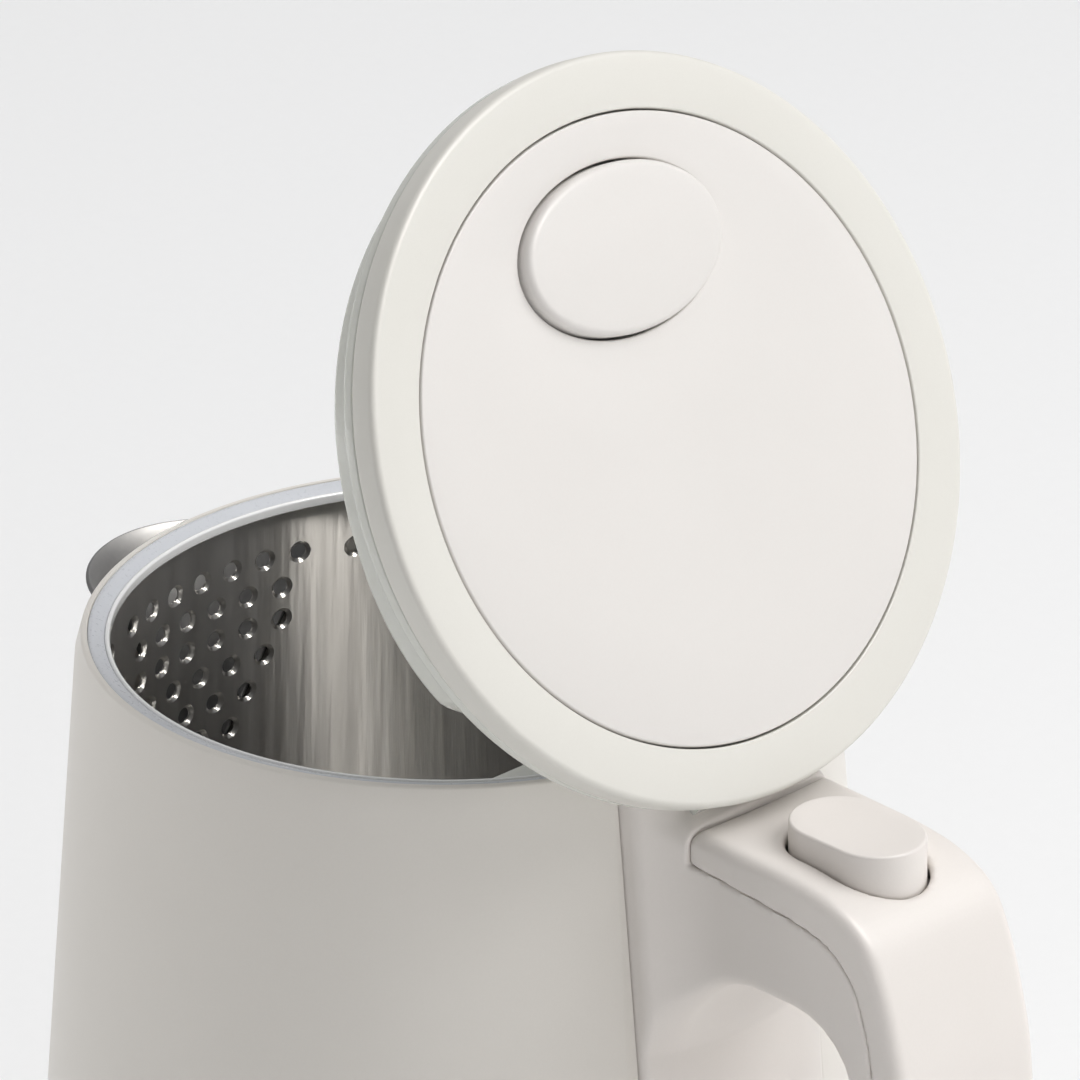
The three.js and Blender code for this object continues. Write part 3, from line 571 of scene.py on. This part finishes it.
def make_vessel():
    under = VESSEL_TOP - 0.9
    inner = [(vessel_radius(z), z) for z in np.linspace(VESSEL_BEND, VESSEL_TOP, 12)]
    outer = [(vessel_radius(z) + VESSEL_SKIN, z) for z in np.linspace(under, VESSEL_BEND, 12)]
    profile = vessel_corner(0, VESSEL_FLOOR, 7)[:-1] + inner
    profile += [(59.4, VESSEL_TOP), (59.4, under)] + outer[:-1]
    profile += vessel_corner(VESSEL_SKIN, VESSEL_FLOOR - 1, 7.5)[::-1]
    vessel = solid("steel_vessel", *lathe(profile, 192))
    drills = merged([strainer_drill(azimuth, z) for azimuth, z in strainer()])
    carve(vessel, hinge_notch(NOTCH_FLOOR), solid("drills", *drills))
    return vessel


place(make_vessel(), STEEL, "kettle_body", ["inner_vessel"], 30)


# ---- the spout ------------------------------------------------------------------------------
def make_spout():
    """A V of sheet steel whose levels widen and reach further out towards the lip."""
    top, apex, reach, levels, around = -9.7, -44.0, 80.7, 36, 64
    apex_half, top_half, apex_stand = 3, 22, 0.4
    rows = []
    for level in range(levels + 1):
        t = level / levels
        z = apex + (top - apex) * t
        root = vessel_radius(z) + 1.4
        half = apex_half + (top_half - apex_half) * t
        rise = (reach - shell_radius(top) - apex_stand) * t ** 1.25
        tip = shell_radius(z) + apex_stand + rise
        lip = 0.5 * max(0.0, (t - 0.93) / 0.07) ** 2
        start = math.sqrt(root * root - half * half)
        row = []
        for i in range(around + 1):
            s = math.sin(math.pi * (i / around - 0.5))
            bulge = max(math.cos(s * math.pi / 2), 0.0) ** 0.45
            row.append((-(start + (tip + lip - start) * bulge), (half + lip) * s, z))
        rows.append(row)
    points = [p for row in rows for p in row]
    width = around + 1
    faces = [(k * width + i, k * width + i + 1, (k + 1) * width + i + 1, (k + 1) * width + i)
             for k in range(levels) for i in range(around)]
    spout = solid("steel_spout", points, faces)
    wall = spout.modifiers.new("wall", "SOLIDIFY")
    wall.thickness = 0.9 * MM
    wall.offset = 0
    wall.use_even_offset = True
    settle(spout)
    soften(spout, 0.4, 3, 50)
    return spout


place(make_spout(), SHADED_SPOUT_STEEL, "kettle_body", ["spout"], 40)


# ---- the handle -----------------------------------------------------------------------------
# Side outlines as x, z and a corner radius. The grip's lines run parallel to the shell.
def along_grip(x, z, down):
    """The point at height down on the line through x, z that runs parallel to the shell."""
    return (x + SLOPE * (z - down), down)


# the back of the handle, shared by the cover and the frame under it
BACK_LINE = [
    (92, -7.5, 70), (101, -8.7, 25), (108.8, -12.6, 12.5), (113.2, -22.0, 58),
    along_grip(116.6, -33, -36) + (50,),
]
COVER_LINE = rounded([
    (62, -70), (62, -6.9), *BACK_LINE, along_grip(116.6, -33, -120), (123.5, -137, 3),
    (119.6, -138.5, 1.5), (90, -138.5),
])
PARTING = rounded([
    (70.4, -12.65), (81.3, -13.5, 20), (94, -14.5, 46), (101.5, -16.2, 12), (106.6, -20.9, 13),
    (109.8, -30, 34), along_grip(110.6, -35.4, -38) + (80,), along_grip(110.6, -35.4, -120),
    (119.8, -137.2), (150, -137.2), (150, 30), (70.4, 30),
])
FRAME_LINE = rounded([
    (50, -3.6), (62.0, -3.6, 1.2), (66.2, -7.1, 5), (70.4, -7.7), (72.2, -7.0), *BACK_LINE,
    along_grip(116.6, -33, -124), (121.0, -145, 12), (108, -150.2, 10), (50, -150.2),
])
HOLE_LINE = rounded([
    (105.0, -30.3, 13), (80, -30.2, 16), (60, -45), (60, -124), (72, -133.2, 8), (99.5, -131.5, 12),
    along_grip(105.2, -45, -112) + (18,), along_grip(105.2, -45, -60),
])
ROOM_LINE = rounded([
    (73, -10), (94, -10.4), (107, -13, 10), (112.6, -24, 14), along_grip(113.8, -40, -44),
    along_grip(113.8, -40, -124), (112, -126), along_grip(107.4, -45, -112),
    along_grip(107.4, -45, -44), (106, -35.5), (102.5, -30), (98, -28), (73, -28),
])
cover_flat, parting_flat = flat_shape(COVER_LINE), flat_shape(PARTING)
frame_flat, hole_flat = flat_shape(FRAME_LINE), flat_shape(HOLE_LINE)
room_flat = flat_shape(ROOM_LINE)


def handle_room(x, y, z):
    """The hollow that holds the switch and its parts."""
    return np.maximum(room_flat(x, z), np.abs(y) - ROOM_HALF)


def pill_distance(x, y, grow):
    """Distance to the pill button's outline, seen from above."""
    straight = PILL_LONG - PILL_HALF
    across = np.sqrt(np.maximum(np.abs(x - PILL_X) - straight, 0) ** 2 + y * y)
    return across - (PILL_HALF + grow)


def cover_field(x, y, z):
    whole = thick(cover_flat(x, z), y, HANDLE_HALF, HANDLE_EDGE)
    # the top is slightly dished round the button, and its front edge is bevelled
    dish = 0.45 * np.clip(1 - (y / 12.5) ** 2, 0, 1) * np.clip((104 - x) / 8, 0, 1)
    bevel = (70.6 - x) * 0.8 + (z + 7.8) * 0.6
    whole = soft_max(whole + dish, bevel, 0.8)
    d = soft_max(whole, parting_flat(x, z) + PARTING_GAP, PARTING_EDGE)
    d = np.maximum(d, -handle_room(x, y, z))
    well = np.maximum(pill_distance(x, y, 0.5), -z - 30)
    return soft_max(d, -well, 1.0)


def hinge_swing(x, y, z):
    """The slots that the lid's arms swing in, with a tongue left between them."""
    floor = -14.8 + np.clip((x - 60.8) * 0.97, 0, 99)
    trough = np.maximum(np.maximum(x - 66.9, np.abs(y) - 12.8), floor - z)
    ahead = np.minimum(62.8 - x, np.maximum(NOTCH_BACK - x, -7.4 - z))
    tongue = np.maximum(np.abs(y) - 8.2, ahead)
    return np.maximum(trough, -tongue)


def frame_field(x, y, z):
    outline = np.maximum(frame_flat(x, z), -hole_flat(x, z))
    loop = thick(outline, y, HANDLE_HALF, HANDLE_EDGE)
    radius = np.sqrt(x * x + y * y)
    # the plate follows the shell, and leaves room for the mouth ring at its top
    skin = radius - shell_radius(z)
    thickness, plate_low, plate_high = 3.0, -152.0, -1.3
    ring_seat = np.where(z > -3.4, 60.0 - radius, -1.0)
    plate = np.maximum(skin, -skin - thickness)
    plate = np.maximum(plate, np.maximum(plate_low - z, z - plate_high))
    plate = np.maximum(plate, 20 - x)
    plate = np.maximum(plate, ring_seat)
    d = soft_min(loop, plate, 15.0)
    d = soft_max(d, -(skin + thickness), 0.5)
    d = np.maximum(d, ring_seat)
    d = soft_max(d, np.abs(y) - PLATE_HALF, 0.8)
    d = np.maximum(d, z - plate_high)
    d = soft_max(d, -parting_flat(x, z) + PARTING_GAP, PARTING_EDGE)
    d = np.maximum(d, -handle_room(x, y, z))
    block = np.maximum(np.maximum(x - NOTCH_BACK, np.abs(y) - NOTCH_HALF), NOTCH_FLOOR - z)
    return np.maximum(np.maximum(d, -block), -hinge_swing(x, y, z))


GRID = 0.6
cover_surface = surface_of(cover_field, (69, -17, -141), (125, 17, -5), GRID)
place(solid("handle_top_cover", *cover_surface), GRIP, "kettle_body", ["handle_cover"], 70)
frame_surface = surface_of(frame_field, (54, -21.5, -154), (124, 21.5, 0), GRID)
place(solid("handle_loop", *frame_surface), GRIP, "kettle_body", ["handle_frame"], 70)


def pill(grow, count=72):
    """The pill button's outline, as [x, y] points that run at even turns."""
    straight, half = PILL_LONG - PILL_HALF, PILL_HALF + grow
    out = []
    for k in range(count):
        a = 2 * math.pi * (k + 0.5) / count
        side = straight if math.cos(a) > 0 else -straight
        out.append((PILL_X + side + half * math.cos(a), half * math.sin(a)))
    return np.array(out)


def pillow(outline_at, stem, top, edge, crown, depth):
    """Rings of a button: a wall, an edge rounded over and a slightly crowned top."""
    rings = [(0.0, stem), (0.0, top - edge)]
    steps = 6
    for k in range(1, steps + 1):
        a = math.pi / 2 * k / steps
        rings.append((edge * (1 - math.cos(a)), top - edge + edge * math.sin(a)))
    for share in (0.2, 0.4, 0.6, 0.8, 0.93):
        rise = crown * math.sin(share * math.pi / 2)
        rings.append((edge + (depth - edge) * share, top + rise))
    return [flat_ring(outline_at(inset), z) for inset, z in rings]


def make_power_button():
    cap = loft(pillow(lambda d: pill(-d), PILL_STEM, PILL_TOP, 0.5, -0.2, PILL_HALF))
    button = solid("boil_switch_button", *cap)
    flange = loft([flat_ring(pill(1), z) for z in (PILL_STEM, PILL_STEM + 1.3)])
    stem = loft([circle(2, 24, z, (PILL_X - 7, 0)) for z in (-18, -13.5)])
    carve(button, solid("flange", *flange), solid("stem", *stem), operation="UNION")
    return button


place(make_power_button(), GRIP, "power_button", ["power_button"], 40)


# ---- the lid --------------------------------------------------------------------------------
def oval(grow, count, z):
    a = turns(count)
    x = OVAL_X + (OVAL_RADIAL + grow) * np.cos(a)
    y = (OVAL_ACROSS + grow) * np.sin(a)
    return np.column_stack([x, y, np.full(count, z)])


rim_profile = rounded([
    (46, 3.9), (LID_R - 0.1, 3.9, 0.7), (LID_R, 5.0), (LID_R, LID_TOP, 1.1),
    (PANEL_R + PANEL_GROOVE, LID_TOP, 0.3), (PANEL_R + PANEL_GROOVE, 6.6), (46, 6.6),
], 6)
place(solid("lid_rim", *lathe(rim_profile, 256), lid=True), LID, "lid", ["lid_ring"], 45)


def make_panel():
    """A disc with the oval's hole, both edges rounded over."""
    count = 240
    edge, under = 0.35, LID_TOP - 2.3
    arc = [(edge * (1 - math.cos(a)), edge * math.sin(a)) for a in np.linspace(0, math.pi / 2, 5)]
    inner = oval(OVAL_GROOVE + edge, count, LID_TOP)
    outer = circle(PANEL_R - edge, count, LID_TOP)
    rings = [circle(PANEL_R, count, under)]
    rings += [circle(PANEL_R - d, count, LID_TOP - edge + h) for d, h in arc]
    rings += [outer * (1 - t) + inner * t for t in (0.25, 0.5, 0.75)]
    rings += [oval(OVAL_GROOVE + d, count, LID_TOP - edge + h) for d, h in arc[::-1]]
    rings += [oval(OVAL_GROOVE, count, under)]
    return solid("lid_face", *loft(rings, wrap=True), lid=True)


place(make_panel(), LID_FACE, "lid", ["lid_panel"], 45)


def make_lid_button():
    count = 160
    stem, top = 3.2, LID_TOP + 2.1
    shape = pillow(lambda d: oval(-d, count, 0)[:, :2], stem, top, 1.3, 0.35, OVAL_RADIAL)
    cap = solid("lid_release_button", *loft(shape), lid=True)
    flange = solid("flange", *loft([oval(1.8, count, z) for z in (stem, 4.6)]), lid=True)
    carve(cap, flange, operation="UNION")
    hollow = solid("hollow", *loft([oval(-2, count, z) for z in (0, 7)]), lid=True)
    carve(cap, hollow)
    # the wedge under the button that draws the latch bolt back
    face = [(-40, 8), (-40, 0.6), (-35.9, 0.6), (-28.5, 8)]
    wedge = loft([np.array([(x, y, z) for x, z in face]) for y in (-3, 3)])
    carve(cap, solid("wedge", *wedge, lid=True), operation="UNION")
    return cap


place(make_lid_button(), LID_FACE, "lid_button", ["lid_button"], 40)


def plug_outline(radius, chord, count=240):
    """The plug: round, with the side at the hinge cut straight and its corners trimmed."""
    a = turns(count)
    u = np.column_stack([np.cos(a), np.sin(np.abs((a + math.pi) % (2 * math.pi) - math.pi))])
    normal = np.array([31.0, 19.5]) / math.hypot(31.0, 19.5)
    corner = normal @ np.array([chord, 29.0])
    # far away where a direction never meets the line
    least, far = 0.05, 1e9
    flat = np.where(u[:, 0] > least, chord / np.maximum(u[:, 0], least), far)
    slant = np.where(u @ normal > least, corner / np.maximum(u @ normal, least), far)
    # the nearest of the three, blended where two of them meet
    sharp = 4
    r = -np.logaddexp(-radius * sharp, np.logaddexp(-flat * sharp, -slant * sharp)) / sharp
    return np.column_stack([r * np.cos(a), r * np.sin(a)])


def plug_ring(inset, z):
    """The plug's outline at one height, drawn in by inset."""
    return flat_ring(plug_outline(PLUG_R - inset, PLUG_CHORD - min(inset, 32)), z)


def plug_floor(inset, lift):
    """The same outline on the plug's underside, which slopes down towards the hinge."""
    ring = plug_ring(inset, 0)
    bend = 0.4
    slope = np.logaddexp(ring[:, 0] * bend, 0) / bend
    ring[:, 2] = -PLUG_DEPTH - slope * 3.3 / PLUG_CHORD + lift
    return ring


def make_plug():
    """A cup's outside with the groove for the seal."""
    edge, groove, groove_half = 1.2, 1.2, 0.95
    insets = [(40, 0), (24, 0), (8, 0), (edge, 0)]
    for a in np.linspace(0, math.pi / 2, 7)[1:]:
        insets.append((edge * (1 - math.sin(a)), edge * (1 - math.cos(a))))
    rings = [plug_floor(inset, lift) for inset, lift in insets]
    rings += [plug_ring(0, -groove_half), plug_ring(groove, -groove_half)]
    rings += [plug_ring(groove, groove_half), plug_ring(0, groove_half), plug_ring(0, 2)]
    return solid("plug", *loft(rings), lid=True)


def hinge_arms():
    """The two arms that reach down to the hinge's pin."""
    arm = rounded([
        (56.3, -12.4, 2.4), (62.3, -12.4, 2.4), (62.3, -7.8), (58.6, 2.2), (50, 2.2), (55, -6, 3),
    ])
    x, z = arm.T
    inside, outside = 8.6, 12.4
    arms = [
        loft([np.column_stack([x, np.full(len(arm), y), z]) for y in pair])
        for pair in ((inside, outside), (-outside, -inside))
    ]
    return solid("arms", *merged(arms), lid=True)


def hinge_bore():
    a = turns(32)
    x, z = HINGE[0] + 1.4 * np.cos(a), HINGE[2] + 1.4 * np.sin(a)
    bore = loft([np.column_stack([x, np.full(len(a), y), z]) for y in (-30, 30)])
    return solid("bore", *bore, lid=True)


def make_lid_base():
    flange_profile = rounded([(0, 1.2), (59.6, 1.2, 0.7), (59.6, 3.6, 0.3), (0, 3.6)], 6)
    base = solid("lid_underside", *lathe(flange_profile, 256), lid=True)
    carve(base, make_plug(), operation="UNION")
    room = loft([plug_ring(2.4, z) for z in (-5.5, 8)])
    vents = [slab(14, 30, 7 * i - 1.2, 7 * i + 1.2, -20, 0) for i in (-2, -1, 0, 1, 2)]
    holes = screw_bores(LID_SCREWS, 44, 1.5, -20, 0, 20)
    bolt = slab(-60, -50, -4.9, 4.9, -5.0, -2.0)
    tools = merged(vents + holes + [bolt])
    carve(base, solid("room", *room, lid=True), solid("tools", *tools, lid=True))
    carve(base, hinge_arms(), operation="UNION")
    carve(base, hinge_bore())
    soften(base, 0.25, 2, 50)
    return base


place(make_lid_base(), INNER, "lid", ["lid_base"], 40)

SEAL_SECTION = [(0.9, -0.6), (-0.3, -0.6), (-0.6, -0.3), (-0.6, 0.3), (-0.3, 0.6), (0.9, 0.6)]
gasket = solid(
    "lid_gasket", *loft([plug_ring(inset, z) for inset, z in SEAL_SECTION], wrap=True), lid=True,
)
place(gasket, CLEAR_RUBBER, "lid", ["lid_seal"], 60)


# ---- under the body -------------------------------------------------------------------------
def make_bottom_cover():
    foot, outer = SHELL_FOOT, shell_radius(SHELL_FOOT) - 2.3
    profile = rounded([
        (27.3, foot + 1), (outer - 0.7, foot + 1, 0.8), (outer - 0.9, foot + 8),
        (outer - 2.6, foot + 8), (outer - 2, foot + 3.2, 0.8), (29.3, foot + 3.2, 0.5),
        (29.3, foot + 6), (27.3, foot + 6),
    ], 4)
    cover = solid("body_bottom_cover", *lathe(profile, 192))
    bores = screw_bores(BODY_SCREWS, 60, SCREW_BORE, foot - 5, foot + 20, 24)
    carve(cover, solid("bores", *merged(bores)))
    return cover


place(make_bottom_cover(), SHELL, "kettle_body", ["bottom_cover"], 35)


# ---- the power base, and the body's socket that stands on its stub --------------------------
def make_base_cover():
    profile = rounded([
        (19.5, 13), (19.5, 15.6), (71, 15, 1), (74.8, 13.4, 1), (74.8, 5), (77, 5, 0.6),
        (77, 13.6, 3.4), (71.6, 17.5, 5), (18.5, 18, 0.8), (15.8, 16.9, 0.5), (15.8, 13),
    ], 8)
    cover = solid("base_top_cover", *lathe(profile, 224), table=True)
    gland_hole = loft([around_x(4.3, 32, x) for x in (60, 90)])
    carve(cover, solid("gland_hole", *gland_hole, table=True))
    return cover


def make_base_plate():
    profile = rounded([(0, 2.6), (74.4, 2.6, 0.6), (74.4, 4.7), (0, 4.7)], 4)
    plate = solid("base_underside", *lathe(profile, 192), table=True)
    bores = screw_bores(BASE_SCREWS, 50, SCREW_BORE, -5, 20, 24)
    carve(plate, solid("bores", *merged(bores), table=True))
    return plate


def make_gland():
    """A sleeve that thins outwards, with grooves round its outer part."""
    start, length, steps = 68, 15, 30
    rings = [around_x(2.0, 32, start)]
    for k in range(steps + 1):
        t = k / steps
        groove = 0.35 * (math.sin(t * math.pi * 10) > 0.3) * (t > 0.3)
        radius = 3.9 - groove - 0.5 * max(0, t - 0.3)
        rings.append(around_x(radius, 32, start + length * t))
    rings.append(around_x(2.0, 32, start + length))
    return solid("cord_strain_relief", *loft(rings, wrap=True), table=True)


place(make_base_cover(), SHELL, "power_base", ["base_cover"], 35)
place(make_base_plate(), SHELL, "power_base", ["base_bottom_plate"], 35)

stub_profile = rounded([
    (0, 5), (27, 5), (27, 8, 0.5), (15.5, 9, 1), (15.5, 31, 0.9), (12, 31, 0.4), (12, 22),
    (5.6, 22), (5.6, 31, 0.4), (3, 31, 0.3), (3, 20), (0, 20),
], 4)
stub = solid("base_stub", *lathe(stub_profile, 96), table=True)
place(stub, DARK, "power_base", ["base_connector"], 35)

socket_profile = rounded([
    (0, 38), (26.8, 38, 0.5), (26.8, 24.6, 0.4), (16.5, 24.6, 1.0), (16.5, 34), (10.6, 34),
    (10.6, 25.5, 0.4), (7.6, 25.5, 0.4), (7.6, 34), (0, 34),
], 4)
socket = solid("body_socket", *lathe(socket_profile, 96), table=True)
place(socket, DARK, "kettle_body", ["kettle_connector"], 35)
place(make_gland(), RUBBER, "power_base", ["cord_gland"], 50)


# ---- CAD nodes that stay as they are, by a word in their name --------------------------------
KEPT = {
    "screw": SMALL_STEEL, "spring": SMALL_STEEL, "hinge_pin": SMALL_STEEL, "foot": RUBBER,
    "contact": BRASS, "disc": BRASS, "heater_plate": CAST, "heating_element": SMALL_STEEL,
    "thermostat": NYLON, "steam_switch": NYLON, "latch_bolt": NYLON, "steam_tube": CLEAR_RUBBER,
    "hinge_bracket": INNER,
}
for name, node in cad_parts.items():
    for word, material in KEPT.items():
        if word in name:
            node.data.materials.clear()
            node.data.materials.append(material)


# ---- floor, light and camera ----------------------------------------------------------------
def add_floor():
    points, faces = loft([circle(9000, 96, 0), circle(9000, 96, -20)])
    floor = solid("floor", points, faces, table=True)
    paper = finish("floor_paper", (0.83, 0.83, 0.83), (0.85, 0.85, 0.85), 0.9, 0.05, 300, mottle=1.5)
    floor.data.materials.append(paper)


def light_room():
    """A dim room, brighter on the kettle's +Y side than on its -Y side."""
    world = bpy.data.worlds.new("studio")
    bpy.context.scene.world = world
    world.use_nodes = True
    nodes, links = world.node_tree.nodes, world.node_tree.links
    sky = nodes["Background"]
    sky.inputs["Color"].default_value = (0.99, 0.99, 1.0, 1)
    direction = nodes.new("ShaderNodeTexCoord")
    facing = nodes.new("ShaderNodeVectorMath")
    facing.operation = "DOT_PRODUCT"
    facing.inputs[1].default_value = (0.0, 1.0, 0.0)
    links.new(direction.outputs["Generated"], facing.inputs[0])
    strength = nodes.new("ShaderNodeMapRange")
    strength.inputs["From Min"].default_value = -0.5
    strength.inputs["From Max"].default_value = 0.5
    strength.inputs["To Min"].default_value = 0.15
    strength.inputs["To Max"].default_value = 0.45
    links.new(facing.outputs["Value"], strength.inputs["Value"])
    links.new(strength.outputs["Result"], sky.inputs["Strength"])


def stand(obj, right, up, away, where):
    """Puts a light or camera at a place in metres, looking along -away."""
    rows = [[right[i], up[i], away[i], where[i]] for i in range(3)]
    obj.matrix_world = Matrix(rows + [[0, 0, 0, 1]])
    bpy.context.scene.collection.objects.link(obj)


def softbox(name, azimuth, elevation, distance, width, height, power, mirrored=False,
            diffuse=True):
    """An area light, in metres, that looks at the mouth. Azimuth is from +X towards +Y.
    Most light only matt surfaces; a mirrored one shows in reflections."""
    light = bpy.data.lights.new(name, "AREA")
    light.shape = "RECTANGLE"
    light.size, light.size_y = width, height
    light.energy = power
    if mirrored:
        light.color = (1.0, 0.965, 0.91)
    obj = bpy.data.objects.new(name, light)
    a, e = math.radians(azimuth), math.radians(elevation)
    away = np.array([math.cos(a) * math.cos(e), math.sin(a) * math.cos(e), math.sin(e)])
    right = np.array([-math.sin(a), math.cos(a), 0.0])
    up = np.cross(away, right)
    obj.visible_glossy = mirrored
    obj.visible_diffuse = diffuse
    stand(obj, right, up, away, np.array([0, 0, 0.2]) + away * distance)


add_floor()
light_room()
softbox("key", 45, 41, 1.8, 1.1, 1.1, 20)
softbox("overhead", 80, 80, 3.0, 3.0, 3.0, 36)
softbox("front", -26, 5, 2.4, 1.8, 0.7, 15)
softbox("fill", -155, 6, 2.0, 0.9, 0.7, 15)
softbox("back", 150, 26, 2.0, 0.9, 0.9, 2.5)
softbox("strip", 18, 62, 1.2, 0.1, 0.8, 21, mirrored=True, diffuse=False)


def put_camera():
    """Long lens, looking down at the mouth from the handle's side."""
    turn, tilt, roll = math.radians(43.4), math.radians(24.83), math.radians(-0.57)
    distance, shift_right, shift_up = 1469.0, 13.988, 14.103
    level = math.cos(tilt)
    back = np.array([math.cos(turn) * level, -math.sin(turn) * level, math.sin(tilt)])
    side = np.array([math.sin(turn), math.cos(turn), 0.0])
    high = np.cross(back, side)
    c, s = math.cos(roll), math.sin(roll)
    right, up = c * side + s * high, -s * side + c * high
    mouth = np.array([0, 0, RIM])
    where = (distance * back + shift_right * right + shift_up * up + mouth) * MM
    data = bpy.data.cameras.new("camera")
    data.sensor_width = 36.0
    data.lens = 300.0
    data.clip_start, data.clip_end = 0.05, 30.0
    camera = bpy.data.objects.new("camera", data)
    stand(camera, right, up, back, where)
    bpy.context.scene.camera = camera


put_camera()
bpy.context.scene.view_settings.view_transform = "Standard"
